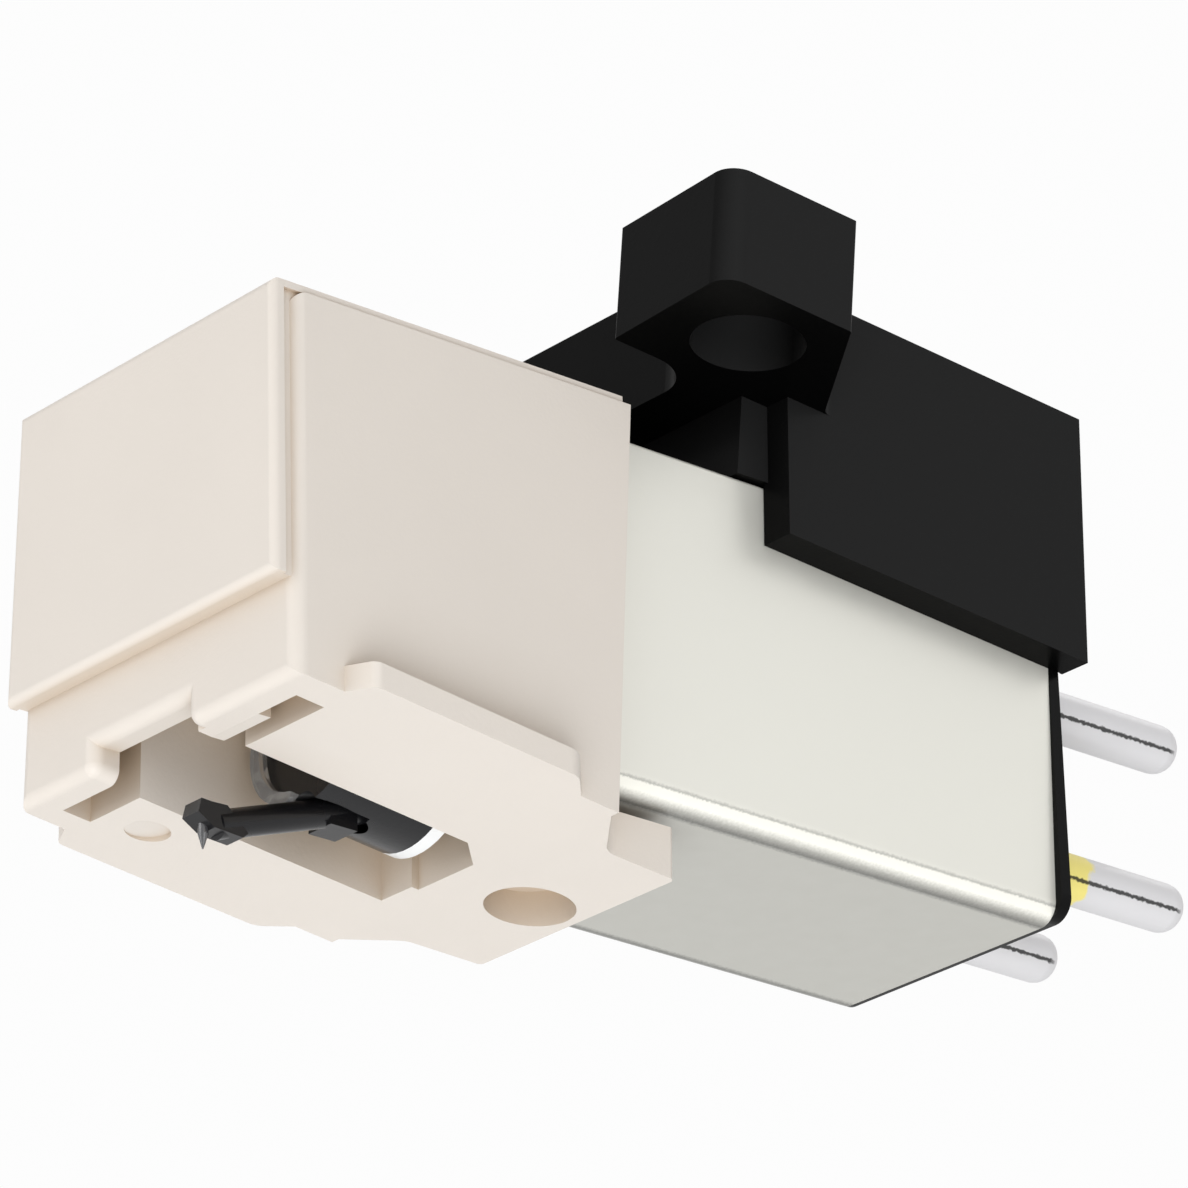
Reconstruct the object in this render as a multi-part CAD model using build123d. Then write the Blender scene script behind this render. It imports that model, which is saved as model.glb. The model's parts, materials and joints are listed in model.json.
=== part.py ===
"""Turntable stylus cartridge with a pull-off stylus and half-inch mounting ears.

All sizes are in millimetres. X is to the right, Y points to the rear (the
terminal pins) and Z up, towards the headshell. The origin lies on the mounting
face, midway between the two mounting holes. The can, its inner parts and the
stylus are drawn in a body frame, which is the same frame before it is pitched
about X by BODY_PITCH. In the body frame the can is level.
"""

import os
from math import cos, radians, sin, tan

from build123d import *

# Mounting bracket, measured from the hole line and down from the mounting face
HOLE_SPACING = 12.7
HOLE_DIA = 2.78
EAR_MARGIN = 2.18
EAR_FRONT = 2.37
EAR_FRONT_RAKE = 2.6
EAR_SIDE_REAR = 1.34
EAR_SWEEP = 32.5
EAR_THICKNESS = 3.0
EAR_CORNER_R = 0.6
EAR_INNER_R = 1.2
EAR_ROOT_R = 0.4
EAR_TAIL = 2.0
NECK_WIDTH = 8.48
NECK_FRONT = 0.2
NECK_LOW_FRONT = 1.62
SIDE_PLATE_WALL = 0.93
SIDE_PLATE_START = 2.17
SIDE_PLATE_DROP = 6.57
BRACKET_OVERHANG = 0.12
BRACKET_ROOF = 1.1
BRACKET_RIB = 0.9
EAR_EDGE_R = 0.08

# Shield can, in the body frame
BODY_PITCH = 4.65
CAN_WIDTH = 8.07
CAN_HEIGHT = 8.95
CAN_DROP = 5.22
CAN_FRONT = -3.5
CAN_REAR = 11.4
CAN_WALL = 0.3
CAN_CORNER_R = 0.55
CAN_FOLD_R = 0.08
REAR_PLATE_THICKNESS = 0.32
REAR_PLATE_FLARE = 0.24
REAR_PLATE_CORNER_R = 0.58
REAR_PLATE_SHOULDER = 1.8
REAR_PLATE_LIFT = 0.1
SEAT_GAP = 0.03

# Terminal pins
PIN_DIA = 1.27
PIN_SPACING_X = 4.6
PIN_SPACING_Z = 4.27
PIN_HEIGHT = 2.14
PIN_LENGTH = 5.4
PIN_TIP_R = 0.5
PIN_ROOT_DIA = 0.9
PIN_ROOT_LENGTH = 2.3

# Stylus moulding, in the body frame
GUARD_TOP = -4.66
GUARD_TOP_WIDTH = 10.0
GUARD_FRONT = -12.73
GUARD_REAR = -2.75
GUARD_REAR_RAKE = 3.9
GUARD_DRAFT = 1.9
BAND_HEIGHT = 0.18
BAND_INSET = 0.06
BAND_REAR_STEP = 0.2
PANEL_CORNER_R = 0.45
PANEL_EDGE_R = 0.35
PAD_DEPTH = 0.54
PAD_HEIGHT = 7.32
PAD_EDGE_R = 0.2
GROOVE_WIDTH = 0.2
GROOVE_DEPTH = 0.12
UNDERSIDE_BELOW_CAN = 1.69
UNDERSIDE_SLOPE = 6.79
UNDERSIDE_FRONT_R = 0.3
UNDERSIDE_EDGE_R = 0.12
FLANGE_WIDTH = 12.16
FLANGE_CORNER_R = 0.25
FLANGE_REAR_R = 0.5
FLANGE_THICKNESS = 0.62
FLANGE_FRONT = -11.45
FLANGE_LEAD = 0.4
FLANGE_REAR = -5.25
FLANGE_TAIL = 0.85
HEEL_REAR = -3.55
HEEL_TAPER = 1.2
TONGUE_WIDTH = 7.02
TONGUE_LEFT_EXTRA = 0.19
TONGUE_LEFT_FLARE = 0.25
TONGUE_REAR = -0.27
TONGUE_GAP = 0.29
TONGUE_KNEE = -3.5
TONGUE_SLOPE = 5.5
TONGUE_ROOT_R = 0.6
TONGUE_CORNER_R = 0.15
DIMPLE_DIA = 2.2
DIMPLE_X = -0.2
DIMPLE_Y = -1.6
DIMPLE_DEPTH = 0.8

# Cavities in the stylus moulding
FRONT_WALL = 0.75
SLOT_REAR = -11.2
SLOT_LEFT = -4.55
SLOT_RIGHT = 2.95
SLOT_DEPTH = 3.2
POCKET_RIGHT = 4.35
POCKET_DEPTH = 0.7
NOTCH_LEFT = -2.35
NOTCH_RIGHT = 1.2
NOTCH_DEPTH = 0.75
NOTCH_EDGE_R = 0.33
TOOTH_THICKNESS = 0.35
TOOTH_HEIGHT = 0.8
WELL_LEFT = -2.6
WELL_RIGHT = 1.43
WELL_REAR = -3.95
WELL_CORNER = 0.82
WELL_DEPTH = 2.6
RIB_WIDTH = 1.15
RIB_DEPTH = 0.2
PIMPLE_DIA = 1.1
PIMPLE_DEPTH = 0.06
PIMPLE_X = -3.9
PIMPLE_Y = -10.03

# Suspension
SLEEVE_DIA = 4.0
SLEEVE_FRONT = -8.25
SLEEVE_REAR = -5.24
SLEEVE_CLEARANCE = 0.02
CLIP_THICKNESS = 0.25
CLIP_WALL = 0.33
CLIP_MOUTH = 1.3
CLIP_MOUTH_X = 0.46
RING_THICKNESS = 0.35
RING_BORE = 2.9
DAMPER_THICKNESS = 0.18
DAMPER_CLEARANCE = 0.05

# Cantilever: its axis passes through the pivot and rises to the rear
PIVOT_Y = -5.0
PIVOT_ABOVE_CAN = 0.25
ARM_PITCH = 18.8
ARM_DIA = 0.7
ARM_SWING = 2.0
ARM_FRONT = 6.3
ARM_TAIL = 0.9
HEAD_WIDTH = 0.62
HEAD_FRONT = 6.93
HEAD_LENGTH = 1.28
HEAD_RISE = 0.6
HEAD_DROP = 0.43
FOOT_WIDTH = 0.85
FOOT_X = -0.1
FOOT_FRONT = 2.9
FOOT_LENGTH = 0.77
FOOT_BELOW_PIVOT = 1.33
FOOT_HEIGHT = 0.45
STYLUS_SETBACK = 6.29
STYLUS_DROP = 2.69
SHANK_DIA = 0.25
SHANK_LENGTH = 0.78
POINT_LENGTH = 0.36
POINT_R = 0.018

# Generator on the cantilever's tail
HOLDER_START = 0.5
HOLDER_COLLAR = 0.5
HOLDER_COLLAR_DIA = 1.0
HOLDER_LENGTH = 2.6
HOLDER_WIDTH = 0.6
MAGNET_SIZE = 0.42
MAGNET_DEPTH = 0.5
MAGNET_LENGTH = 1.9

# Plug on the stylus moulding and the socket around it
PLUG_BORE = 1.9
PLUG_WALL = 0.3
PLUG_HEIGHT = 2.2
PLUG_REAR = -1.4
PASSAGE_MARGIN = 0.01
SOCKET_CLEARANCE = 0.06

# Coils and cores
POLE_THICKNESS = 0.5
POLE_HEIGHT = 0.6
POLE_FRONT = -3.2
POLE_TIP_LENGTH = 0.7
POLE_GAP = 0.75
YOKE_FRONT = 7.1
YOKE_THICKNESS = 0.7
BOBBIN_FRONT = -0.6
BOBBIN_LENGTH = 7.2
BOBBIN_FLANGE = 0.4
BOBBIN_GAP = 0.12
BOBBIN_CORE_WALL = 0.3
COIL_STEP = 0.15
CORE_CLEARANCE = 0.04
CARRIER_FRONT = -3.2
CARRIER_FACE = 1.2
CARRIER_REAR_WALL = 1.6
CARRIER_RAIL = 0.5
CARRIER_GAP = 0.04

# Frames and stations worked out from the sizes above
PITCH = Rot(X=BODY_PITCH)
EAR_SPAN = HOLE_SPACING + 2 * EAR_MARGIN
CAN_TOP = -CAN_DROP
CAN_BOTTOM = -CAN_DROP - CAN_HEIGHT
BRACKET_WIDTH = CAN_WIDTH + 2 * SEAT_GAP + 2 * SIDE_PLATE_WALL
PLATE_REAR = CAN_REAR + REAR_PLATE_THICKNESS
PIN_ROW_LOWER = CAN_BOTTOM + PIN_HEIGHT
PIN_ROW_UPPER = PIN_ROW_LOWER + PIN_SPACING_Z
INNER_WIDTH = CAN_WIDTH - 2 * CAN_WALL
POLE_X = PLUG_BORE / 2 + PLUG_WALL + SOCKET_CLEARANCE + 0.05 + POLE_THICKNESS / 2
BAY_HALF = INNER_WIDTH / 2 - CARRIER_GAP - CARRIER_RAIL
BOBBIN_DIA = 2 * (BAY_HALF - POLE_X - BOBBIN_GAP)
COIL_DIA = BOBBIN_DIA - 2 * COIL_STEP
POLE_LOWER = CAN_BOTTOM + CAN_WALL + BOBBIN_GAP + BOBBIN_DIA / 2
POLE_UPPER = CAN_TOP - CAN_WALL - BOBBIN_GAP - BOBBIN_DIA / 2
SLEEVE_LENGTH = (SLEEVE_REAR - SLEEVE_FRONT) / cos(radians(UNDERSIDE_SLOPE))
PLUG_LOW = CAN_BOTTOM + CAN_WALL + SOCKET_CLEARANCE
PLUG_TOP = PLUG_LOW + PLUG_HEIGHT
PIVOT = Vector(0, PIVOT_Y, CAN_BOTTOM + PIVOT_ABOVE_CAN)
ARM = Plane(
    origin=PIVOT,
    x_dir=(-1, 0, 0),
    z_dir=(0, cos(radians(ARM_PITCH)), sin(radians(ARM_PITCH))),
)
FAR = 40
SIDES = {"left": -1, "right": 1}


def underside(y):
    """Height of the stylus moulding's sloping underside at a station y."""
    return CAN_BOTTOM - UNDERSIDE_BELOW_CAN - y * tan(radians(UNDERSIDE_SLOPE))


def sleeve_frame(y):
    """Frame on the sleeve's axis at y, with its own Z to the rear and its Y up."""
    slope = radians(UNDERSIDE_SLOPE)
    rise = SLEEVE_DIA / 2 / cos(slope)
    return Plane(origin=(0, y, underside(y) + rise), x_dir=(-1, 0, 0), z_dir=(0, cos(slope), -sin(slope)))


def block(x0, x1, y0, y1, z0, z1):
    """Box between two corners."""
    centre = Pos((x0 + x1) / 2, (y0 + y1) / 2, (z0 + z1) / 2)
    return centre * Box(abs(x1 - x0), abs(y1 - y0), abs(z1 - z0))


def side_profile(points, x0, x1):
    """Outline in Y and Z, drawn out from x0 to x1."""
    face = Plane.YZ.offset(x0) * make_face(Polyline(*points, close=True))
    return extrude(face, amount=x1 - x0)


def front_profile(points, y0, y1):
    """Outline in X and Z, drawn out from y0 to y1."""
    face = Plane.XZ.offset(-y1) * make_face(Polyline(*points, close=True))
    return extrude(face, amount=y1 - y0)


def plan_profile(points, z0, z1):
    """Outline in X and Y, drawn out from z0 to z1."""
    face = Plane.XY.offset(z0) * make_face(Polyline(*points, close=True))
    return extrude(face, amount=z1 - z0)


def below(x, y):
    """Upright frame on the underside at x and y."""
    return Plane(origin=(x, y, underside(y)))


def rod(frame, dia, start, end):
    """Round bar along a frame's Z, from start to end."""
    align = (Align.CENTER, Align.CENTER, Align.MIN)
    return frame * Pos(0, 0, start) * Cylinder(dia / 2, end - start, align=align)


def beneath_underside(lift=0.0):
    """Everything below the sloping underside, or below a plane lifted from it."""
    tilt = Pos(0, 0, underside(0)) * Rot(X=-UNDERSIDE_SLOPE) * Pos(0, 0, lift)
    return tilt * Box(FAR, FAR, FAR, align=(Align.CENTER, Align.CENTER, Align.MAX))


def mirrored(points):
    """Outline given for positive x, completed on the other side."""
    return points + [(-x, y) for x, y in reversed(points)]


def rounded_outline(points, radii):
    """Closed outline with its own corner radius at each point, 0 for a sharp corner."""
    face = make_face(Polyline(*points, close=True))
    for (x, y), radius in zip(points, radii):
        if radius > 0:
            corner = face.vertices().sort_by_distance((x, y, 0))[0]
            face = fillet(corner, radius)
    return face


def can_envelope(gap, front, rear):
    """Outer form of the can, grown by a gap, between two stations."""
    half = CAN_WIDTH / 2 + gap
    section = RectangleRounded(2 * half, CAN_HEIGHT + 2 * gap, CAN_FOLD_R)
    middle = (CAN_TOP + CAN_BOTTOM) / 2
    return extrude(Plane.XZ.offset(-rear) * Pos(0, middle) * section, amount=rear - front)


def drafted_half(top_half, z):
    """Half width of a side face that leans out by the mould's draft below the top."""
    return top_half + (GUARD_TOP - z) * tan(radians(GUARD_DRAFT))


def mounting_bracket():
    """Moulding with two mounting ears, a neck and two side plates round the can."""
    half = BRACKET_WIDTH / 2
    root = EAR_SIDE_REAR + (EAR_SPAN / 2 - half) * tan(radians(EAR_SWEEP))
    tip = EAR_FRONT + (EAR_SPAN / 2 - NECK_WIDTH / 2) * tan(radians(EAR_FRONT_RAKE))
    right = [
        (NECK_WIDTH / 2, NECK_FRONT),
        (NECK_WIDTH / 2, -EAR_FRONT),
        (EAR_SPAN / 2, -tip),
        (EAR_SPAN / 2, EAR_SIDE_REAR),
        (half, root),
        (half, root + EAR_TAIL),
    ]
    radii = [EAR_INNER_R, EAR_EDGE_R, EAR_CORNER_R, EAR_EDGE_R, EAR_ROOT_R, 0]
    outline = rounded_outline(mirrored(right), radii + radii[::-1])
    ears = extrude(outline, amount=-EAR_THICKNESS)
    rear_face = PLATE_REAR + BRACKET_OVERHANG
    middle = block(-half, half, NECK_FRONT, FAR / 2, -SIDE_PLATE_DROP, 0)
    middle -= PITCH * block(-FAR, FAR, rear_face, FAR, -FAR, FAR)
    middle -= block(-FAR, FAR, -FAR, NECK_LOW_FRONT, -FAR, -EAR_THICKNESS)
    for side in SIDES.values():
        middle -= PITCH * block(side * NECK_WIDTH / 2, side * FAR, -FAR, SIDE_PLATE_START, -FAR, FAR)
    body = ears + middle
    inside = CAN_WIDTH / 2 + SEAT_GAP
    can_roof = CAN_TOP + SEAT_GAP
    body -= PITCH * block(-inside, inside, -FAR, FAR, -FAR, can_roof)
    body -= PITCH * block(-NECK_WIDTH, NECK_WIDTH, -FAR, SIDE_PLATE_START, -FAR, can_roof)
    pocket_half = inside - SIDE_PLATE_WALL
    pocket_rear = rear_face - BRACKET_ROOF - BRACKET_OVERHANG
    for side in SIDES.values():
        rib = side * BRACKET_RIB / 2
        pocket = block(rib, side * pocket_half, SIDE_PLATE_START, pocket_rear, -CAN_DROP, -BRACKET_ROOF)
        body -= pocket
        body -= Pos(side * HOLE_SPACING / 2, 0, 0) * Cylinder(HOLE_DIA / 2, 3 * EAR_THICKNESS)
    notch_face = Plane.XZ.offset(-PLATE_REAR - SEAT_GAP) * plate_outline(SEAT_GAP)
    notch = extrude(notch_face, amount=REAR_PLATE_THICKNESS + 2 * SEAT_GAP)
    return body - PITCH * notch


def plate_outline(gap=0.0):
    """Outline of the rear plate in X and Z, grown by a gap."""
    half = CAN_WIDTH / 2
    shoulder = CAN_TOP - REAR_PLATE_SHOULDER
    right = [
        (half + REAR_PLATE_FLARE + gap, CAN_BOTTOM + REAR_PLATE_LIFT - gap),
        (half + gap, shoulder + gap),
        (half + gap, CAN_TOP + gap),
    ]
    radii = [REAR_PLATE_CORNER_R, 0, CAN_FOLD_R]
    return rounded_outline(mirrored(right), radii + radii[::-1])


def shield_can():
    """Drawn can, open at both ends, with rounded lower edges."""
    outer = can_section(0, CAN_CORNER_R)
    inner = can_section(CAN_WALL, CAN_CORNER_R - CAN_WALL)
    return extrude(Plane.XZ.offset(-CAN_REAR) * (outer - inner), amount=CAN_REAR - CAN_FRONT)


def can_section(inset, lower_r):
    """Section of the can in X and Z, drawn in by an inset."""
    half = CAN_WIDTH / 2 - inset
    right = [(half, CAN_BOTTOM + inset), (half, CAN_TOP - inset)]
    radii = [lower_r, CAN_FOLD_R]
    return rounded_outline(mirrored(right), radii + radii[::-1])


def pin_places():
    """Name and axis of each terminal pin."""
    places = {}
    for side, sign in SIDES.items():
        places[f"{side}_upper"] = (sign * PIN_SPACING_X / 2, PIN_ROW_UPPER)
        places[f"{side}_lower"] = (sign * PIN_SPACING_X / 2, PIN_ROW_LOWER)
    return places


def pin_holes(start, end):
    """Bores for the roots of the four pins between two stations."""
    dia = PIN_ROOT_DIA + 2 * CORE_CLEARANCE
    return [rod(lengthwise(x, z), dia, start, end) for x, z in pin_places().values()]


def lengthwise(x, z):
    """Frame at x and z with its own Z to the rear."""
    return Plane(origin=(x, 0, z), x_dir=(-1, 0, 0), z_dir=(0, 1, 0))


def rear_plate():
    """Plate that closes the can, a little wider than the can below its shoulders."""
    plate = extrude(Plane.XZ.offset(-PLATE_REAR) * plate_outline(), amount=REAR_PLATE_THICKNESS)
    for hole in pin_holes(CAN_REAR - 1, PLATE_REAR + 1):
        plate -= hole
    return plate


def terminal_pin(x, z):
    """Round pin with a thinner root behind its shoulder and a rounded free end."""
    frame = lengthwise(x, z)
    end = PLATE_REAR + PIN_LENGTH
    pin = rod(frame, PIN_DIA, PLATE_REAR, end)
    pin = fillet(pin.edges().sort_by(Axis.Y)[-1], PIN_TIP_R)
    return pin + rod(frame, PIN_ROOT_DIA, PLATE_REAR - PIN_ROOT_LENGTH, PLATE_REAR)


def guard_shell():
    """Outer form of the stylus moulding, before its cavities."""
    return guard_panel() + guard_pad() + pad_core() + underside_plate() + tongue()


def guard_panel():
    """Panels round the can and the suspension, drafted, with rounded front edges."""
    panel_top = GUARD_TOP - BAND_HEIGHT
    low = underside(GUARD_FRONT)
    rear_low = GUARD_REAR - (GUARD_TOP - underside(GUARD_REAR)) * tan(radians(GUARD_REAR_RAKE))
    side = [
        (GUARD_FRONT, low),
        (rear_low, underside(rear_low)),
        (GUARD_REAR, panel_top),
        (GUARD_FRONT, panel_top),
    ]
    profile = rounded_outline(side, [UNDERSIDE_FRONT_R, 0, 0, PANEL_CORNER_R])
    panel = extrude(Plane.YZ * profile, amount=FAR / 2, both=True)
    sections = []
    for z in (underside(0), GUARD_TOP):
        half = drafted_half(GUARD_TOP_WIDTH / 2, z)
        plan = [(half, GUARD_FRONT), (half, 0)]
        face = rounded_outline(mirrored(plan), [PANEL_EDGE_R, 0, 0, PANEL_EDGE_R])
        sections.append(Plane.XY.offset(z) * face)
    panel &= loft(sections, ruled=True)
    notch_top = underside(GUARD_FRONT + FRONT_WALL) + NOTCH_DEPTH
    panel -= block(NOTCH_LEFT, NOTCH_RIGHT, -FAR, GUARD_FRONT + FRONT_WALL, -FAR, notch_top)
    front = panel.edges().filter_by_position(Axis.Y, GUARD_FRONT - 0.01, GUARD_FRONT + 0.01)
    rim = front.filter_by_position(Axis.X, NOTCH_LEFT - 0.01, NOTCH_RIGHT + 0.01)
    return fillet(rim.filter_by_position(Axis.Z, -FAR, notch_top + 0.01), NOTCH_EDGE_R)


def pad_section(inset):
    """Front view of the pad, drafted like the panels and drawn in by an inset."""
    low = GUARD_TOP - PAD_HEIGHT
    half = GUARD_TOP_WIDTH / 2 - BAND_INSET - inset
    return [
        (-drafted_half(half, low), low),
        (drafted_half(half, low), low),
        (half, GUARD_TOP),
        (-half, GUARD_TOP),
    ]


def guard_pad():
    """Pad on the front and the band that runs back from it over the panels."""
    front = GUARD_FRONT - PAD_DEPTH
    band_low = GUARD_TOP - BAND_HEIGHT
    pad_rear = GUARD_FRONT - GROOVE_WIDTH
    side = [
        (front, GUARD_TOP - PAD_HEIGHT),
        (pad_rear, GUARD_TOP - PAD_HEIGHT),
        (pad_rear, band_low),
        (GUARD_REAR - BAND_REAR_STEP, band_low),
        (GUARD_REAR - BAND_REAR_STEP, GUARD_TOP),
        (front, GUARD_TOP),
    ]
    pad = side_profile(side, -FAR / 2, FAR / 2) & front_profile(pad_section(0), -FAR / 2, FAR / 2)
    edges = pad.edges().group_by(Axis.Y)[0]
    return fillet(edges, PAD_EDGE_R)


def pad_core():
    """Narrower block at the bottom of the groove between pad and panels."""
    section = pad_section(GROOVE_DEPTH)
    return front_profile(section, GUARD_FRONT - PAD_DEPTH / 2, GUARD_FRONT + FRONT_WALL / 2)


def underside_plate():
    """Flanges along both lower edges of the stylus moulding."""
    half = FLANGE_WIDTH / 2
    wall = drafted_half(GUARD_TOP_WIDTH / 2, underside(FLANGE_FRONT)) - PAD_EDGE_R
    right = [
        (wall, FLANGE_FRONT),
        (half, FLANGE_FRONT + FLANGE_LEAD),
        (half, FLANGE_REAR),
        (wall, FLANGE_REAR + FLANGE_TAIL),
    ]
    radii = [0, FLANGE_CORNER_R, FLANGE_REAR_R, 0]
    plate = extrude(rounded_outline(mirrored(right), radii + radii[::-1]), amount=-FAR / 2)
    plate -= beneath_underside()
    plate &= beneath_underside(FLANGE_THICKNESS)
    lower = plate.faces().sort_by(Axis.Z)[0].edges()
    return fillet(lower, UNDERSIDE_EDGE_R)


def tongue_low(y):
    """Height of the tongue's underside, which is flatter than the main one."""
    return underside(TONGUE_KNEE) - (y - TONGUE_KNEE) * tan(radians(TONGUE_SLOPE))


def tongue():
    """Heel and rear tongue, which reach back beneath the can."""
    wall = drafted_half(GUARD_TOP_WIDTH / 2, underside(HEEL_REAR)) - PAD_EDGE_R
    half = TONGUE_WIDTH / 2
    left = half + TONGUE_LEFT_EXTRA
    outline = [
        (wall, HEEL_REAR - HEEL_TAPER),
        (wall, HEEL_REAR),
        (half, HEEL_REAR + HEEL_TAPER),
        (half, TONGUE_REAR),
        (-left, TONGUE_REAR),
        (-left - TONGUE_LEFT_FLARE, HEEL_REAR + HEEL_TAPER),
        (-wall, HEEL_REAR),
        (-wall, HEEL_REAR - HEEL_TAPER),
    ]
    radii = [0, 0, TONGUE_ROOT_R, TONGUE_CORNER_R]
    plan = extrude(rounded_outline(outline, radii + radii[::-1]), amount=-FAR / 2)
    top = CAN_BOTTOM - TONGUE_GAP
    start = HEEL_REAR - HEEL_TAPER
    side = [
        (start, underside(start)),
        (TONGUE_KNEE, tongue_low(TONGUE_KNEE)),
        (TONGUE_REAR, tongue_low(TONGUE_REAR)),
        (TONGUE_REAR, top),
        (start, top),
    ]
    return plan & side_profile(side, -FAR / 2, FAR / 2)


def stylus_body():
    """Stylus moulding: guard, pad, flanges and tongue, hollowed for the suspension."""
    body = guard_shell()
    wall_back = GUARD_FRONT + FRONT_WALL
    base = underside(wall_back)
    body -= block(SLOT_LEFT, SLOT_RIGHT, wall_back, SLOT_REAR, -FAR, base + SLOT_DEPTH)
    body -= block(SLOT_LEFT, POCKET_RIGHT, wall_back, SLOT_REAR, -FAR, base + POCKET_DEPTH)
    body -= block(NOTCH_LEFT, NOTCH_RIGHT, -FAR, SLOT_REAR, -FAR, base + NOTCH_DEPTH)
    tooth_front = GUARD_FRONT + FRONT_WALL / 2
    tooth_rear = wall_back + TOOTH_THICKNESS
    tooth = block(NOTCH_RIGHT, SLOT_RIGHT, tooth_front, tooth_rear, base, base + TOOTH_HEIGHT)
    body += tooth - beneath_underside()
    well = [
        (WELL_LEFT, wall_back),
        (WELL_RIGHT, wall_back),
        (WELL_RIGHT, WELL_REAR - WELL_CORNER),
        (WELL_RIGHT - WELL_CORNER, WELL_REAR),
        (WELL_LEFT + RIB_WIDTH, WELL_REAR),
        (WELL_LEFT + RIB_WIDTH, WELL_REAR - RIB_DEPTH),
        (WELL_LEFT, WELL_REAR - RIB_DEPTH),
    ]
    body -= plan_profile(well, -FAR, base + WELL_DEPTH) - block(-FAR, FAR, -FAR, SLOT_REAR, -FAR, FAR)
    seat_dia = SLEEVE_DIA + 2 * SLEEVE_CLEARANCE
    body -= rod(sleeve_frame(SLEEVE_REAR), seat_dia, -SLEEVE_LENGTH - CLIP_THICKNESS, RING_THICKNESS)
    half = PLUG_BORE / 2
    body -= block(-half, half, SLEEVE_REAR, 0, CAN_BOTTOM + PASSAGE_MARGIN, PLUG_TOP - PLUG_WALL)
    body -= can_envelope(2 * SEAT_GAP, CAN_FRONT - SEAT_GAP, FAR / 2)
    body += plug()
    body -= rod(Plane(origin=(DIMPLE_X, DIMPLE_Y, tongue_low(DIMPLE_Y))), DIMPLE_DIA, -1, DIMPLE_DEPTH)
    body -= rod(below(PIMPLE_X, PIMPLE_Y), PIMPLE_DIA, -1, PIMPLE_DEPTH)
    return body


def plug():
    """Three-sided plug on the moulding's rear, which enters the socket."""
    half = PLUG_BORE / 2 + PLUG_WALL
    outer = block(-half, half, CAN_FRONT - PLUG_WALL, PLUG_REAR, PLUG_LOW, PLUG_TOP)
    inner = block(-PLUG_BORE / 2, PLUG_BORE / 2, -FAR, FAR, -FAR, PLUG_TOP - PLUG_WALL)
    return outer - inner


def arm_clearance():
    """Radius of the room that the arm needs when it swings up and sideways at once."""
    reach = (PIVOT_Y - SLEEVE_FRONT + CLIP_THICKNESS) / cos(radians(ARM_PITCH))
    corner = 2**0.5 * reach * sin(radians(ARM_SWING))
    return ARM_DIA / 2 + corner + SLEEVE_CLEARANCE


def suspension_sleeve():
    """Black cylinder, cut away below for the arm and its foot."""
    sleeve = rod(sleeve_frame(SLEEVE_REAR), SLEEVE_DIA, -SLEEVE_LENGTH, 0)
    room = arm_clearance()
    sleeve -= rod(ARM, 2 * room, -FAR, FAR)
    return sleeve - arm_foot(room - ARM_DIA / 2)


def front_clip():
    """Clear open ring in front of the sleeve, with its mouth beside the arm."""
    frame = sleeve_frame(SLEEVE_FRONT)
    ring = rod(frame, SLEEVE_DIA, -CLIP_THICKNESS, 0)
    ring -= rod(frame, SLEEVE_DIA - 2 * CLIP_WALL, -1, 1)
    mouth = frame * Pos(-CLIP_MOUTH_X, -SLEEVE_DIA / 2, 0) * Box(CLIP_MOUTH, SLEEVE_DIA / 2, FAR)
    ring -= mouth
    return ring - rod(ARM, 2 * arm_clearance(), -FAR, FAR)


def rear_ring():
    """Pale ring that holds the damper behind the sleeve."""
    frame = sleeve_frame(SLEEVE_REAR)
    ring = rod(frame, SLEEVE_DIA, 0, RING_THICKNESS)
    return ring - rod(frame, RING_BORE, -1, 1)


def damper():
    """Rubber disc inside the rear ring, with an off-centre hole for the arm."""
    frame = sleeve_frame(SLEEVE_REAR)
    start = (RING_THICKNESS - DAMPER_THICKNESS) / 2
    disc = rod(frame, RING_BORE - 2 * DAMPER_CLEARANCE, start, start + DAMPER_THICKNESS)
    return disc - rod(ARM, ARM_DIA + 2 * DAMPER_CLEARANCE, -FAR, FAR)


def cantilever():
    """Arm with a flattened head at its front end and a small foot below."""
    arm = rod(ARM, ARM_DIA, -ARM_FRONT, ARM_TAIL)
    front = -HEAD_FRONT
    outline = [
        (front + 0.15 * HEAD_LENGTH, HEAD_RISE),
        (front, HEAD_RISE / 2),
        (front + 0.28 * HEAD_LENGTH, -0.28 * HEAD_DROP),
        (front + 0.86 * HEAD_LENGTH, -HEAD_DROP),
        (front + HEAD_LENGTH, -0.8 * HEAD_DROP),
        (front + 0.69 * HEAD_LENGTH, 0.6 * HEAD_RISE),
        (front + 0.34 * HEAD_LENGTH, 0.83 * HEAD_RISE),
    ]
    side = Plane(origin=PIVOT, x_dir=ARM.z_dir, z_dir=(1, 0, 0))
    head = extrude(side * make_face(Polyline(*outline, close=True)), amount=HEAD_WIDTH / 2, both=True)
    return arm + head + arm_foot() - rod(stylus_frame(), SHANK_DIA, 0, HEAD_LENGTH)


def arm_foot(grow=0.0):
    """Small block under the arm, grown by a clearance for the room around it."""
    centre_y = FOOT_LENGTH / 2 - FOOT_FRONT
    place = Pos(PIVOT) * Pos(FOOT_X, centre_y, FOOT_HEIGHT / 2 - FOOT_BELOW_PIVOT)
    return place * Box(FOOT_WIDTH + 2 * grow, FOOT_LENGTH + 2 * grow, FOOT_HEIGHT + 2 * grow)


def stylus_frame():
    """Frame on the stylus point, with its own Z up along the shank."""
    return Plane(origin=PIVOT - Vector(0, STYLUS_SETBACK, STYLUS_DROP))


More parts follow.
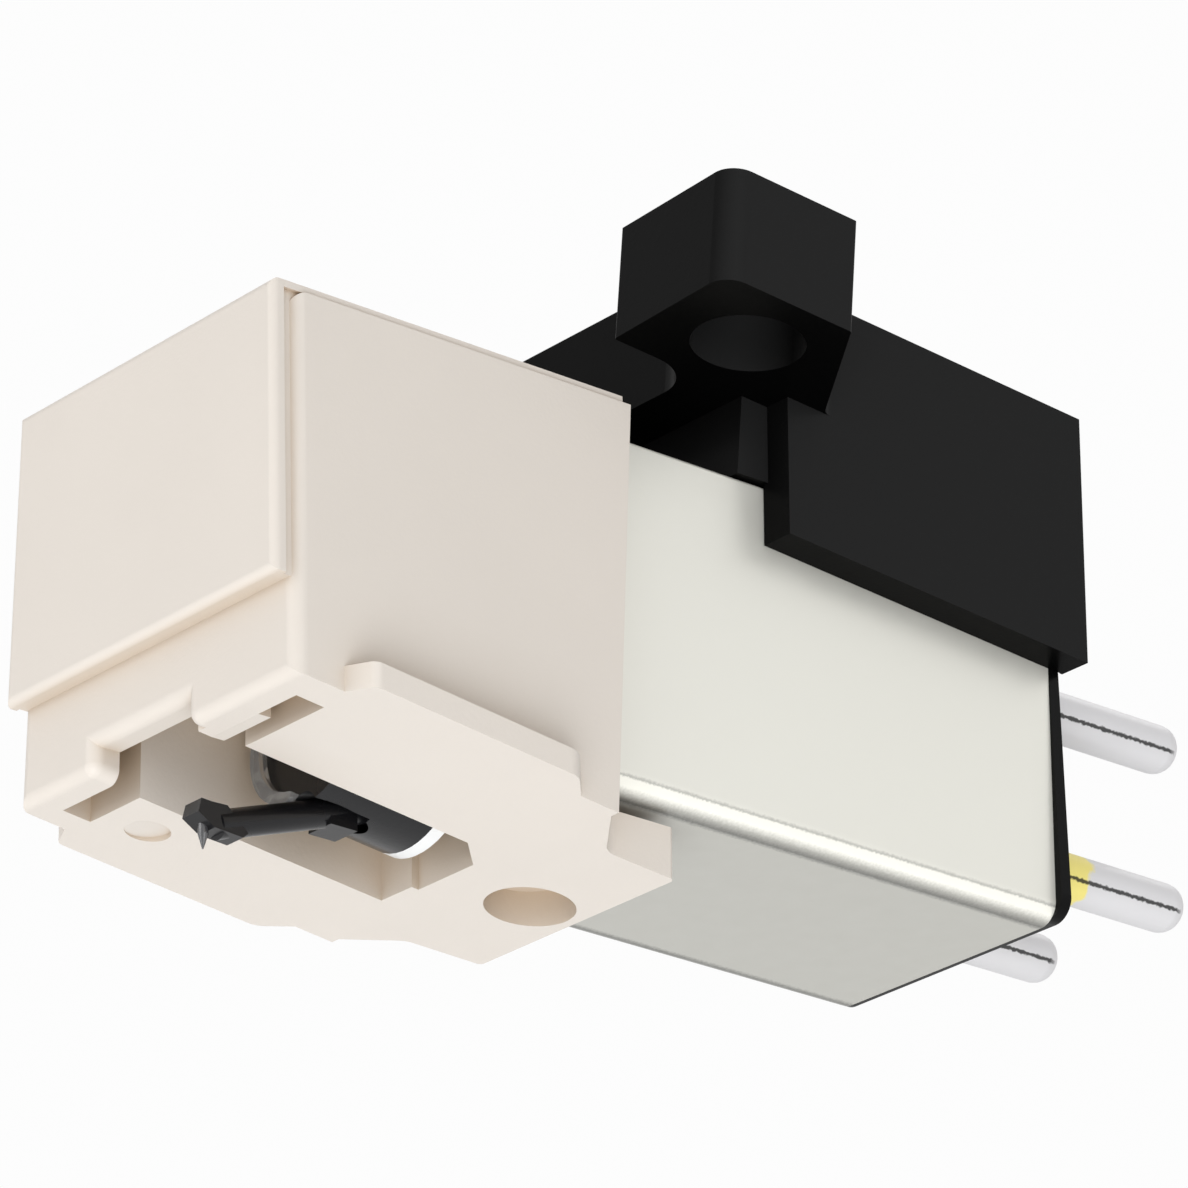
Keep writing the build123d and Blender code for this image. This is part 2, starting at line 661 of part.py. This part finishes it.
def stylus_tip():
    """Round shank through the head, ground to a point below it."""
    frame = stylus_frame()
    shank = rod(frame, SHANK_DIA, POINT_LENGTH, POINT_LENGTH + SHANK_LENGTH)
    point = Cone(POINT_R, SHANK_DIA / 2, POINT_LENGTH, align=(Align.CENTER, Align.CENTER, Align.MIN))
    return shank + frame * point


def magnet_holder():
    """Moulding on the arm's tail, with a roof of two facets for the magnets."""
    end = HOLDER_START + HOLDER_LENGTH
    collar = rod(ARM, HOLDER_COLLAR_DIA, HOLDER_START, HOLDER_START + HOLDER_COLLAR)
    collar -= rod(ARM, ARM_DIA, 0, ARM_TAIL)
    half = HOLDER_WIDTH / 2
    outline = [(-half, -0.25), (half, -0.25), (half, 0), (0, half), (-half, 0)]
    section = make_face(Polyline(*outline, close=True))
    start = HOLDER_START + HOLDER_COLLAR
    return collar + extrude(ARM * Pos(0, 0, start) * section, amount=end - start)


def magnet(sign):
    """Bar magnet seated on one facet of the holder."""
    half = HOLDER_WIDTH / 2
    end = HOLDER_START + HOLDER_LENGTH
    seat = ARM * Pos(-sign * half / 2, half / 2, end - MAGNET_LENGTH) * Rot(Z=sign * 45)
    return seat * Box(MAGNET_SIZE, MAGNET_DEPTH, MAGNET_LENGTH, align=(Align.CENTER, Align.MIN, Align.MIN))


def pole_limits(sign, grow=0.0):
    """Range of x that one side's pole pieces take, grown by a clearance."""
    return sign * POLE_X - POLE_THICKNESS / 2 - grow, sign * POLE_X + POLE_THICKNESS / 2 + grow


def lower_pole(sign, grow=0.0):
    """Straight pole piece beside the plug."""
    x0, x1 = pole_limits(sign, grow)
    half = POLE_HEIGHT / 2 + grow
    return block(x0, x1, POLE_FRONT, YOKE_FRONT, POLE_LOWER - half, POLE_LOWER + half)


def upper_pole(sign, grow=0.0):
    """Pole piece whose front end turns down towards the magnet."""
    x0, x1 = pole_limits(sign, grow)
    top = POLE_UPPER + POLE_HEIGHT / 2 + grow
    low = POLE_UPPER - POLE_HEIGHT / 2 - grow
    tip_low = POLE_LOWER + POLE_HEIGHT / 2 + POLE_GAP - grow
    tip_rear = POLE_FRONT + POLE_TIP_LENGTH + grow
    outline = [(POLE_FRONT, tip_low), (tip_rear, tip_low), (tip_rear, low), (YOKE_FRONT, low)]
    outline += [(YOKE_FRONT, top), (POLE_FRONT, top)]
    return side_profile(outline, x0, x1)


def yoke(sign):
    """Back iron that joins a side's two pole pieces."""
    x0, x1 = pole_limits(sign, CORE_CLEARANCE)
    low = POLE_LOWER - POLE_HEIGHT / 2
    top = POLE_UPPER + POLE_HEIGHT / 2
    return block(x0, x1, YOKE_FRONT, YOKE_FRONT + YOKE_THICKNESS, low, top)


def bobbin(sign, z):
    """Coil former with two flanges and a bore for the pole piece."""
    frame = lengthwise(sign * POLE_X, z)
    core = COIL_DIA - 2 * coil_build()
    end = BOBBIN_FRONT + BOBBIN_LENGTH
    former = rod(frame, core, BOBBIN_FRONT, end)
    former += rod(frame, BOBBIN_DIA, BOBBIN_FRONT, BOBBIN_FRONT + BOBBIN_FLANGE)
    former += rod(frame, BOBBIN_DIA, end - BOBBIN_FLANGE, end)
    x0, x1 = pole_limits(sign, CORE_CLEARANCE)
    half = POLE_HEIGHT / 2 + CORE_CLEARANCE
    former -= block(x0, x1, -FAR, FAR, z - half, z + half)
    return former


def coil_build():
    """Depth of the winding on its former."""
    diagonal = (POLE_THICKNESS**2 + POLE_HEIGHT**2) ** 0.5
    return (COIL_DIA - diagonal) / 2 - BOBBIN_CORE_WALL


def coil(sign, z):
    """Winding between a former's flanges."""
    frame = lengthwise(sign * POLE_X, z)
    start = BOBBIN_FRONT + BOBBIN_FLANGE
    end = BOBBIN_FRONT + BOBBIN_LENGTH - BOBBIN_FLANGE
    winding = rod(frame, COIL_DIA, start, end)
    return winding - rod(frame, COIL_DIA - 2 * coil_build(), -FAR, FAR)


def coil_carrier():
    """Moulded frame that fills the can and holds poles, coils and pins."""
    half = INNER_WIDTH / 2 - CARRIER_GAP
    low = CAN_BOTTOM + CAN_WALL + CARRIER_GAP
    top = CAN_TOP - CAN_WALL - CARRIER_GAP
    carrier = block(-half, half, CARRIER_FRONT, CAN_REAR, low, top)
    edges = carrier.edges().filter_by(Axis.Y)
    carrier = fillet(edges.group_by(Axis.Z)[0], CAN_CORNER_R - CAN_WALL)
    carrier = fillet(carrier.edges().filter_by(Axis.Y).group_by(Axis.Z)[-1], CAN_FOLD_R)
    bay_front = CARRIER_FRONT + CARRIER_FACE
    bay_rear = CAN_REAR - CARRIER_REAR_WALL
    carrier -= block(-BAY_HALF, BAY_HALF, bay_front, bay_rear, -FAR, FAR)
    socket_half = PLUG_BORE / 2 + PLUG_WALL + SOCKET_CLEARANCE
    carrier -= block(-socket_half, socket_half, -FAR, bay_front + 0.1, -FAR, PLUG_TOP + SOCKET_CLEARANCE)
    for sign in SIDES.values():
        carrier -= lower_pole(sign, CORE_CLEARANCE)
        carrier -= upper_pole(sign, CORE_CLEARANCE)
    for hole in pin_holes(bay_rear - 1, CAN_REAR + 1):
        carrier -= hole
    return carrier


def build_nodes():
    """Every node of the cartridge in its final place."""
    level = {
        "shield_can": shield_can(),
        "rear_plate": rear_plate(),
        "stylus_body": stylus_body(),
        "suspension_sleeve": suspension_sleeve(),
        "front_clip": front_clip(),
        "rear_ring": rear_ring(),
        "damper": damper(),
        "cantilever": cantilever(),
        "stylus_tip": stylus_tip(),
        "magnet_holder": magnet_holder(),
        "coil_carrier": coil_carrier(),
    }
    for name, (x, z) in pin_places().items():
        level[f"pin_{name}"] = terminal_pin(x, z)
    for side, sign in SIDES.items():
        level[f"magnet_{side}"] = magnet(sign)
        level[f"pole_{side}_upper"] = upper_pole(sign)
        level[f"pole_{side}_lower"] = lower_pole(sign)
        level[f"yoke_{side}"] = yoke(sign)
        for row, z in (("upper", POLE_UPPER), ("lower", POLE_LOWER)):
            level[f"bobbin_{side}_{row}"] = bobbin(sign, z)
            level[f"coil_{side}_{row}"] = coil(sign, z)
    nodes = {name: PITCH * shape for name, shape in level.items()}
    nodes["mounting_bracket"] = mounting_bracket()
    return nodes


os.makedirs("parts", exist_ok=True)
for name, shape in build_nodes().items():
    export_step(shape, f"parts/{name}.step")
    print(name, round(shape.volume, 3))
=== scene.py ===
import json
import math

import bpy
from mathutils import Matrix, Vector

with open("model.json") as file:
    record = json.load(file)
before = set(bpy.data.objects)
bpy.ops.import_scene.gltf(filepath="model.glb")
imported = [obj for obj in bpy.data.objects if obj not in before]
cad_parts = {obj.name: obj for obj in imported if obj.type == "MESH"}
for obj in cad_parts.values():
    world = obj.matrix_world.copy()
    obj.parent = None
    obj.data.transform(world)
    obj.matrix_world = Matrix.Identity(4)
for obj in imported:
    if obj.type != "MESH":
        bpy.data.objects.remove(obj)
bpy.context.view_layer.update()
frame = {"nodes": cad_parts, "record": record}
nodes = frame["nodes"]

# The can and the pins lie along this direction, pitched to the mounting face
PITCH = math.radians(4.65)
REARWARD = (0, math.cos(PITCH), math.sin(PITCH))

# Noise: detail, the part of its range that counts, and scales in features per metre
NOISE_DETAIL = 3.0
NOISE_LOW, NOISE_HIGH = 0.3, 0.7
MOULD_SHADE_SCALE, MOULD_GLOSS_SCALE, MOULD_GRAIN_SCALE = 220, 700, 9000
METAL_SHADE_SCALE, METAL_GLOSS_SCALE, METAL_GRAIN_SCALE = 900, 1500, 12000

# Depth of the surface grain, in metres
GRAIN_DEPTH = 0.00002
METAL_SKIN_DEPTH = 0.00001
STONE_GRAIN_DEPTH = 0.000005

# Ivory plastic lets some light through; its recesses get a painted warm shade rather than grey
IVORY = (0.745, 0.685, 0.62)
IVORY_MOTTLE = 0.012
RECESS_PAINTED_SHADE = (0.64, 0.52, 0.38)
RECESS_REACH = 0.0025

# Can: colour, half width and lower face in millimetres in its own frame
CAN_SILVER = (0.76, 0.75, 0.69)
CAN_METALLIC = 0.35
CAN_HALF = 4.035
CAN_LOW = -14.17

# Painted reflections and shade over the can, by the distance in millimetres across its rounded lower
# edge:
# the side, a dark line, a light band that fades, a dark band, and an underside painted darker than
# the side
EDGE_PAINTED_LIGHT = (
    (-0.42, 0.80),
    (-0.345, 0.50),
    (-0.30, 0.96),
    (-0.10, 0.94),
    (0.10, 0.42),
    (0.25, 0.17),
    (0.35, 0.50),
)
EDGE_TONE = (1, 0.985, 0.9)
EDGE_REACH = 0.46
EDGE_BAND_WAVER = 0.1
EDGE_BAND_WAVER_SCALE = 15000
EDGE_SLANT = math.radians(29.56)
CAN_GRAIN_SCALE = 14000

# Pins: a painted reflection, a thin dark line along the side that faces LINE_FACING, up to the
# rounded tip
PIN_TIN = (0.7, 0.69, 0.69)
PIN_METALLIC = 0.3
PIN_PALE = (0.68, 0.67, 0.68)
PIN_REFLECTED_DARK = (0.05, 0.05, 0.05)
LINE_FACING = (0.375, 0, 0.927)
LINE_PAINTED_REFLECTION = ((0.01, PIN_PALE), (0.06, PIN_REFLECTED_DARK), (0.16, PIN_REFLECTED_DARK), (0.21, PIN_PALE))
LINE_WAVER = 0.2
LINE_WAVER_SCALE = 9000
TIP_START, TIP_FULL = 0.15, 0.45

# Yellow paint on one pin: full up to the first distance rearward and gone at the second, in metres
PAINT_TINT = (1.25, 1.1, 0.32)
PAINT_FULL, PAINT_GONE = 0.01412, 0.01424
PAINT_WAVER = 0.0009
PAINT_WAVER_SCALE = 1800

# Bracket: a painted sheen, a little paler where it faces sideways and a quarter as much where it
# faces along, and painted shade where it faces up or down
GLOSS_BLACK = (0.004, 0.004, 0.004)
SIDEWAYS = (1, 0.25, 0)
SIDEWAYS_PAINTED_SHEEN = (
    (0.02, (0.0012, 0.0012, 0.0012)),
    (0.25, GLOSS_BLACK),
    (1.0, (0.018, 0.018, 0.018)),
)

# Lamps: name, place, width, height, watts and colour
LAMP_TARGET = (0, 0.001, -0.009)
LAMPS = (
    ("key", (-0.10, -0.42, 0.02), 0.34, 0.30, 0.58, (1, 1, 1)),
    ("side", (0.46, -0.05, 0.02), 0.30, 0.36, 0.46, (1, 1, 1)),
    ("low", (0.14, -0.12, -0.26), 0.30, 0.30, 0.88, (0.96, 0.98, 1.0)),
    ("top", (-0.05, 0.10, 0.50), 0.40, 0.40, 1.0, (1, 1, 1)),
)
SKY_LIGHT = 0.42
SKY_SHOWN = 0.98

# Floor: half its width, its height and the glow that rays to the camera see
FLOOR_HALF = 3.0
FLOOR_LEVEL = -0.32
FLOOR_WHITE = (0.9, 0.9, 0.9)
FLOOR_ROUGHNESS = 0.7
FLOOR_GLOW = 0.5

# Camera, solved from points of the photo: angles in degrees, lens and centre in its pixels
CAMERA_ANGLES = (52.125, -26.496, 3.722)
CAMERA_PLACE = (0.120060, -0.092856, -0.082702)
CAMERA_CLIP = (0.001, 10)
PHOTO_SIZE = 1188
FOCAL_LENGTH = 7051.19
CENTRE = (584.97, 580.58)
SENSOR_WIDTH = 36


def feed(tree, socket, value):
    """Links another socket to this one, or gives it a number or a colour."""
    if isinstance(value, bpy.types.NodeSocket):
        tree.links.new(value, socket)
    elif isinstance(value, tuple):
        socket.default_value = (*value, 1)
    else:
        socket.default_value = value


def calc(tree, operation, *values):
    """Result of a math node over sockets and numbers."""
    node = tree.nodes.new("ShaderNodeMath")
    node.operation = operation
    for socket, value in zip(node.inputs, values):
        feed(tree, socket, value)
    return node.outputs["Value"]


def position(tree):
    """Place of a point in the frame, in metres."""
    return tree.nodes.new("ShaderNodeTexCoord").outputs["Object"]


def normal(tree):
    """Direction that the surface faces."""
    return tree.nodes.new("ShaderNodeNewGeometry").outputs["Normal"]


def along(tree, vector, direction):
    """How far a vector reaches along a direction."""
    dot = tree.nodes.new("ShaderNodeVectorMath")
    dot.operation = "DOT_PRODUCT"
    dot.inputs[1].default_value = direction
    tree.links.new(vector, dot.inputs[0])
    return dot.outputs["Value"]


def mirrored(tree):
    """Position with its X made positive, so that both sides look alike."""
    apart = tree.nodes.new("ShaderNodeSeparateXYZ")
    tree.links.new(position(tree), apart.inputs["Vector"])
    joined = tree.nodes.new("ShaderNodeCombineXYZ")
    tree.links.new(calc(tree, "ABSOLUTE", apart.outputs["X"]), joined.inputs["X"])
    tree.links.new(apart.outputs["Y"], joined.inputs["Y"])
    tree.links.new(apart.outputs["Z"], joined.inputs["Z"])
    return joined.outputs["Vector"]


def noise(tree, scale):
    """Noise in object space, so its scale is in features per metre."""
    tex = tree.nodes.new("ShaderNodeTexNoise")
    tex.inputs["Scale"].default_value = scale
    tex.inputs["Detail"].default_value = NOISE_DETAIL
    tree.links.new(position(tree), tex.inputs["Vector"])
    return tex.outputs["Fac"]


def waver(tree, value, scale, gain):
    """Value with some noise added."""
    return calc(tree, "MULTIPLY_ADD", noise(tree, scale), gain, value)


def span_of(tree, value, low, high, start=0.0, end=1.0):
    """Value brought from its own range, low to high, to the range start to end."""
    node = tree.nodes.new("ShaderNodeMapRange")
    node.inputs["From Min"].default_value = low
    node.inputs["From Max"].default_value = high
    node.inputs["To Min"].default_value = start
    node.inputs["To Max"].default_value = end
    tree.links.new(value, node.inputs["Value"])
    return node.outputs["Result"]


def band(tree, value, stops):
    """Shades over a value, from pairs of place and colour."""
    ramp = tree.nodes.new("ShaderNodeValToRGB")
    ramp.color_ramp.elements[0].position = stops[0][0]
    ramp.color_ramp.elements[0].color = (*stops[0][1], 1)
    ramp.color_ramp.elements[1].position = stops[-1][0]
    ramp.color_ramp.elements[1].color = (*stops[-1][1], 1)
    for place, color in stops[1:-1]:
        ramp.color_ramp.elements.new(place).color = (*color, 1)
    tree.links.new(value, ramp.inputs["Fac"])
    return ramp.outputs["Color"]


def blend(tree, factor, first, second, mode="MIX"):
    """Goes from the first colour to the second, or combines them in another mode."""
    node = tree.nodes.new("ShaderNodeMix")
    node.data_type = "RGBA"
    node.blend_type = mode
    feed(tree, node.inputs["Factor"], factor)
    feed(tree, node.inputs[6], first)
    feed(tree, node.inputs[7], second)
    return node.outputs[2]


def shader(name, color, roughness, metallic=0.0, **sockets):
    """New principled material, with any further socket by its name."""
    mat = bpy.data.materials.new(name)
    mat.use_nodes = True
    bsdf = mat.node_tree.nodes["Principled BSDF"]
    bsdf.inputs["Base Color"].default_value = (*color, 1)
    bsdf.inputs["Roughness"].default_value = roughness
    bsdf.inputs["Metallic"].default_value = metallic
    for key, value in sockets.items():
        bsdf.inputs[key.replace("_", " ")].default_value = value
    return mat, mat.node_tree, bsdf


def surface(name, color, gloss, relief, **sockets):
    """Material with uneven gloss and fine relief.

    gloss is its lowest and highest roughness, and the noise scale between them.
    relief is the strength, noise scale and depth of its grain.
    """
    smooth, rough, gloss_scale = gloss
    strength, grain_scale, depth = relief
    mat, tree, bsdf = shader(name, color, (smooth + rough) / 2, **sockets)
    uneven = span_of(tree, noise(tree, gloss_scale), NOISE_LOW, NOISE_HIGH, smooth, rough)
    tree.links.new(uneven, bsdf.inputs["Roughness"])
    bump = tree.nodes.new("ShaderNodeBump")
    bump.inputs["Strength"].default_value = strength
    bump.inputs["Distance"].default_value = depth
    tree.links.new(noise(tree, grain_scale), bump.inputs["Height"])
    tree.links.new(bump.outputs["Normal"], bsdf.inputs["Normal"])
    return mat, tree, bsdf


def mottle(tree, color, scale, amount):
    """Colour with soft changes of shade over the surface."""
    dark = tuple(c * (1 - amount) for c in color)
    pale = tuple(min(c * (1 + amount), 1) for c in color)
    return band(tree, noise(tree, scale), [(NOISE_LOW, dark), (NOISE_HIGH, pale)])


def moulded(name, color, roughness, spread, amount, relief, **sockets):
    """Moulded plastic or rubber."""
    gloss = (roughness - spread, roughness + spread, MOULD_GLOSS_SCALE)
    mat, tree, bsdf = surface(name, color, gloss, (relief, MOULD_GRAIN_SCALE, GRAIN_DEPTH), **sockets)
    tree.links.new(mottle(tree, color, MOULD_SHADE_SCALE, amount), bsdf.inputs["Base Color"])
    return mat


def metal(name, color, roughness, spread, amount, relief):
    """Plated or bare metal."""
    gloss = (roughness - spread, roughness + spread, METAL_GLOSS_SCALE)
    grain = (relief, METAL_GRAIN_SCALE, GRAIN_DEPTH)
    mat, tree, bsdf = surface(name, color, gloss, grain, metallic=1.0)
    tree.links.new(mottle(tree, color, METAL_SHADE_SCALE, amount), bsdf.inputs["Base Color"])
    return mat


def ivory_plastic():
    """Satin ivory moulding, with a painted warm shade in its recesses."""
    gloss = (0.37, 0.47, MOULD_GLOSS_SCALE)
    grain = (0.2, MOULD_GRAIN_SCALE, GRAIN_DEPTH)
    mat, tree, bsdf = surface("ivory", IVORY, gloss, grain, Specular_IOR_Level=0.3)
    # Painted shade: the colour darkens to a warm tint where the surface is closed in, by ambient
    # occlusion
    shelter = tree.nodes.new("ShaderNodeAmbientOcclusion")
    shelter.inputs["Distance"].default_value = RECESS_REACH
    warm = blend(tree, shelter.outputs["AO"], RECESS_PAINTED_SHADE, (1.0, 1.0, 1.0))
    base = mottle(tree, IVORY, MOULD_SHADE_SCALE, IVORY_MOTTLE)
    tree.links.new(blend(tree, 1.0, base, warm, "MULTIPLY"), bsdf.inputs["Base Color"])
    return mat


def can_silver():
    """Satin can, with painted reflections as light and dark bands along its rounded lower edges, and
    an underside painted darker.
    """
    gloss = (0.34, 0.42, METAL_GLOSS_SCALE)
    grain = (0.05, CAN_GRAIN_SCALE, METAL_SKIN_DEPTH)
    mat, tree, bsdf = surface("can_silver", CAN_SILVER, gloss, grain, metallic=CAN_METALLIC)
    # Painted reflections and shade: the can's colour runs through painted bands across its lower
    # edges, the same on both sides
    inward, down = -math.sin(EDGE_SLANT), -math.cos(EDGE_SLANT)
    across = Vector((inward, -down * math.sin(PITCH), down * math.cos(PITCH)))
    middle = inward * CAN_HALF + down * CAN_LOW + EDGE_BAND_WAVER / 2
    level = along(tree, mirrored(tree), across * 1000)
    level = waver(tree, level, EDGE_BAND_WAVER_SCALE, EDGE_BAND_WAVER)
    level = span_of(tree, level, middle - EDGE_REACH, middle + EDGE_REACH)
    stops = [
        (0.5 + 0.5 * place / EDGE_REACH, tuple(shade * tone for tone in EDGE_TONE))
        for place, shade in EDGE_PAINTED_LIGHT
    ]
    tree.links.new(band(tree, level, stops), bsdf.inputs["Base Color"])
    return mat


def pin_metal(name, has_paint=False):
    """Bright tinned pin with a painted reflection, a thin dark line along it, and paint next to the
    plate.
    """
    gloss = (0.36, 0.44, METAL_GLOSS_SCALE)
    grain = (0.08, METAL_GRAIN_SCALE, METAL_SKIN_DEPTH)
    mat, tree, bsdf = surface(name, PIN_TIN, gloss, grain, metallic=PIN_METALLIC)
    # Painted reflection: a thin dark line where the surface faces LINE_FACING, fading out on the tip
    line = waver(tree, along(tree, normal(tree), LINE_FACING), LINE_WAVER_SCALE, LINE_WAVER)
    tip = span_of(tree, along(tree, normal(tree), REARWARD), TIP_START, TIP_FULL)
    shade = blend(tree, tip, band(tree, line, LINE_PAINTED_REFLECTION), PIN_PALE)
    if has_paint:
        reach = waver(tree, along(tree, position(tree), REARWARD), PAINT_WAVER_SCALE, PAINT_WAVER)
        coat = span_of(tree, reach, PAINT_GONE, PAINT_FULL)
        shade = blend(tree, coat, shade, PAINT_TINT, "MULTIPLY")
    tree.links.new(shade, bsdf.inputs["Base Color"])
    return mat


def gloss_black():
    """Gloss black of the bracket, with a painted sheen on its sideways faces and painted shade on
    faces up or down.
    """
    gloss = (0.29, 0.32, MOULD_GLOSS_SCALE)
    grain = (0.1, MOULD_GRAIN_SCALE, GRAIN_DEPTH)
    mat, tree, bsdf = surface("gloss_black", GLOSS_BLACK, gloss, grain, Specular_IOR_Level=0.02)
    # Painted sheen and shade: the colour is set by which way the surface faces
    either_way = tree.nodes.new("ShaderNodeVectorMath")
    either_way.operation = "ABSOLUTE"
    tree.links.new(normal(tree), either_way.inputs[0])
    sideways = along(tree, either_way.outputs["Vector"], SIDEWAYS)
    tree.links.new(band(tree, sideways, SIDEWAYS_PAINTED_SHEEN), bsdf.inputs["Base Color"])
    return mat


def clear_clip():
    """Clear moulding of the front clip."""
    gloss = (0.1, 0.2, 900)
    grain = (0.1, MOULD_GRAIN_SCALE, GRAIN_DEPTH)
    color = (0.97, 0.97, 0.96)
    return surface("clip_clear", color, gloss, grain, IOR=1.49, Transmission_Weight=0.8)[0]


def tip_stone():
    """Dark polished diamond of the tip."""
    gloss = (0.08, 0.18, 5000)
    grain = (0.1, 30000, STONE_GRAIN_DEPTH)
    color = (0.06, 0.06, 0.065)
    return surface("tip_diamond", color, gloss, grain, IOR=1.8, Transmission_Weight=0.3)[0]


def lamp(name, place, width, height, watts, color):
    """Soft rectangular lamp that shines at the part."""
    data = bpy.data.lights.new(name, "AREA")
    data.shape = "RECTANGLE"
    data.size = width
    data.size_y = height
    data.energy = watts
    data.color = color
    obj = bpy.data.objects.new(name, data)
    bpy.context.scene.collection.objects.link(obj)
    obj.location = place
    obj.rotation_mode = "QUATERNION"
    obj.rotation_quaternion = (Vector(LAMP_TARGET) - Vector(place)).to_track_quat("-Z", "Y")


def seen_ray(tree):
    """1 for rays that show the background: straight, mirrored or through clear parts."""
    path = tree.nodes.new("ShaderNodeLightPath")
    result = path.outputs["Is Camera Ray"]
    for kind in ("Is Transmission Ray", "Is Glossy Ray"):
        result = calc(tree, "MAXIMUM", result, path.outputs[kind])
    return result


def white_sky(tree, strength):
    """White background of one strength."""
    sky = tree.nodes.new("ShaderNodeBackground")
    sky.inputs["Color"].default_value = (1, 1, 1, 1)
    sky.inputs["Strength"].default_value = strength
    return sky.outputs[0]


# Materials by the record's slots
mats = {
    "ivory_plastic": ivory_plastic(),
    "silver_metal": can_silver(),
    "tinned_metal": pin_metal("pin_tin"),
    "black_plastic": gloss_black(),
    "clear_plastic": clear_clip(),
    "diamond": tip_stone(),
    "black_plate": moulded(
        "plate_black", (0.003, 0.003, 0.003), 0.26, 0.05, 0.1, 0.1, Specular_IOR_Level=0.08
    ),
    "black_moulding": moulded(
        "sleeve_black", (0.008, 0.008, 0.009), 0.25, 0.05, 0.1, 0.15, Specular_IOR_Level=0.3
    ),
    "black_metal": moulded(
        "arm_black", (0.008, 0.008, 0.009), 0.25, 0.05, 0.08, 0.1, Specular_IOR_Level=0.3
    ),
    "black_rubber": moulded("rubber_black", (0.02, 0.02, 0.02), 0.7, 0.08, 0.1, 0.3),
    "white_plastic": moulded("ring_white", (0.86, 0.86, 0.85), 0.3, 0.05, 0.02, 0.12),
    "grey_moulding": moulded("holder_grey", (0.12, 0.12, 0.125), 0.5, 0.06, 0.05, 0.2),
    "carrier_plastic": moulded("carrier_black", (0.03, 0.03, 0.032), 0.5, 0.06, 0.08, 0.2),
    "bobbin_plastic": moulded("bobbin_cream", (0.70, 0.66, 0.56), 0.5, 0.06, 0.03, 0.2),
    "core_iron": metal("core_iron", (0.55, 0.55, 0.56), 0.4, 0.06, 0.05, 0.2),
    "copper_wire": metal("winding_copper", (0.72, 0.34, 0.16), 0.35, 0.06, 0.06, 0.3),
    "magnet": metal("magnet_grey", (0.36, 0.36, 0.38), 0.35, 0.05, 0.04, 0.2),
}
for part in frame["record"]["subparts"]:
    mesh = nodes[part["node"]].data
    mesh.materials.clear()
    mesh.materials.append(mats[part["material_slot"]])
nodes["pin_right_lower"].data.materials[0] = pin_metal("pin_painted", has_paint=True)

for settings in LAMPS:
    lamp(*settings)

# The background looks nearly white, but lights the part less than that
world = bpy.data.worlds.new("studio")
bpy.context.scene.world = world
world.use_nodes = True
tree = world.node_tree
tree.nodes.clear()
mix = tree.nodes.new("ShaderNodeMixShader")
tree.links.new(seen_ray(tree), mix.inputs[0])
tree.links.new(white_sky(tree, SKY_LIGHT), mix.inputs[1])
tree.links.new(white_sky(tree, SKY_SHOWN), mix.inputs[2])
tree.links.new(mix.outputs[0], tree.nodes.new("ShaderNodeOutputWorld").inputs[0])

# Pale floor that keeps its shadows, with a glow that brings it near the background's white
corners = [
    (x * FLOOR_HALF, y * FLOOR_HALF, FLOOR_LEVEL) for x, y in ((-1, -1), (1, -1), (1, 1), (-1, 1))
]
floor_mesh = bpy.data.meshes.new("floor")
floor_mesh.from_pydata(corners, [], [(0, 1, 2, 3)])
floor = bpy.data.objects.new("floor", floor_mesh)
bpy.context.scene.collection.objects.link(floor)
floor_mat, tree, bsdf = shader("floor_pale", FLOOR_WHITE, FLOOR_ROUGHNESS)
bsdf.inputs["Emission Color"].default_value = (1, 1, 1, 1)
glow = calc(tree, "MULTIPLY", seen_ray(tree), FLOOR_GLOW)
tree.links.new(glow, bsdf.inputs["Emission Strength"])
floor_mesh.materials.append(floor_mat)

# Camera where the photo was taken from
azimuth, elevation, roll = (math.radians(angle) for angle in CAMERA_ANGLES)
back = Vector(
    (
        math.sin(azimuth) * math.cos(elevation),
        -math.cos(azimuth) * math.cos(elevation),
        math.sin(elevation),
    )
)
right = (-back).cross(Vector((0, 0, 1))).normalized()
up = right.cross(-back)
turned_right = right * math.cos(roll) + up * math.sin(roll)
turned_up = up * math.cos(roll) - right * math.sin(roll)
camera_data = bpy.data.cameras.new("camera")
camera_data.lens = FOCAL_LENGTH / PHOTO_SIZE * SENSOR_WIDTH
camera_data.sensor_width = SENSOR_WIDTH
camera_data.shift_x = (PHOTO_SIZE / 2 - CENTRE[0]) / PHOTO_SIZE
camera_data.shift_y = (CENTRE[1] - PHOTO_SIZE / 2) / PHOTO_SIZE
camera_data.clip_start, camera_data.clip_end = CAMERA_CLIP
camera = bpy.data.objects.new("camera", camera_data)
bpy.context.scene.collection.objects.link(camera)
place = Matrix((turned_right, turned_up, back)).transposed().to_4x4()
place.translation = Vector(CAMERA_PLACE)
camera.matrix_world = place
bpy.context.scene.camera = camera
bpy.context.scene.view_settings.view_transform = "Standard"
